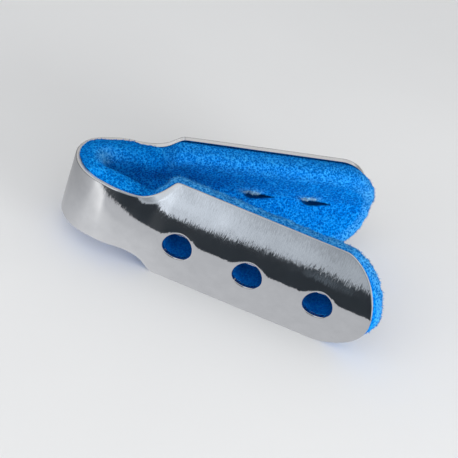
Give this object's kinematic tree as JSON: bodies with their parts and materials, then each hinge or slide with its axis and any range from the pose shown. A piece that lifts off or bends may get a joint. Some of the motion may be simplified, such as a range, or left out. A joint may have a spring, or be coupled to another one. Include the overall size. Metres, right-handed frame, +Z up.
{
  "type": "finger splint",
  "caption": "Fold-over finger splint: creased aluminium strip with punched arms, bent at its narrow waist and lined with soft foam.",
  "frame": {"origin": "below the middle of the whole splint, on the surface that it stands on", "axes": "+X from the bend towards the open mouth, +Y from the front arm to the back arm, +Z up, across the arms"},
  "size_m": [0.0724, 0.0532, 0.0252],
  "materials": {
    "aluminium": "bright rolled sheet, polished, with fine marks across the strip and deburred edges",
    "blue_foam": "matte open-cell polyurethane foam with a fuzzy skin of broken cells"
  },
  "bodies": {
    "root": {"metal_strip": "aluminium", "foam_liner": "blue_foam"}
  },
  "joints": []
}
